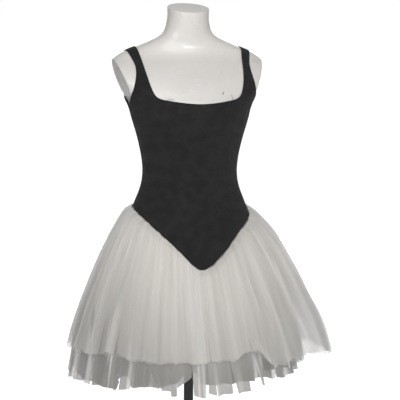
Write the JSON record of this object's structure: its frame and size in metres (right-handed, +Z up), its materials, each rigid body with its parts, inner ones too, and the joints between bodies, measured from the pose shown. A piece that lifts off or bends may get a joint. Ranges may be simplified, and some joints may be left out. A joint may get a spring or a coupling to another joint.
{
  "type": "leotard with a tulle skirt on a limbless dress form",
  "caption": "Black sleeveless leotard with a pointed waist and a gathered tulle skirt, worn by a white limbless dress form on a round stand.",
  "frame": {"origin": "centre of the underside of the round base, under the pole", "axes": "+Z up, front of the garment towards -Y, the wearer's left towards +X"},
  "size_m": [0.7116, 0.5487, 1.1324],
  "materials": {
    "black_jersey": "matte stretch jersey with a faint sheen",
    "ivory_tulle": "fine open net, gathered, see-through where it hangs single",
    "white_form": "glossy white, a little chipped",
    "black_metal": "satin black paint"
  },
  "bodies": {
    "root": {"stand_base": "black_metal", "stand_pole": "black_metal", "form_torso": "white_form", "bodice_front": "black_jersey", "bodice_back": "black_jersey", "brief_front": "black_jersey", "brief_back": "black_jersey", "gusset": "black_jersey", "tulle_top_front": "ivory_tulle", "tulle_top_back": "ivory_tulle", "tulle_under_front": "ivory_tulle", "tulle_under_back": "ivory_tulle"}
  },
  "joints": []
}
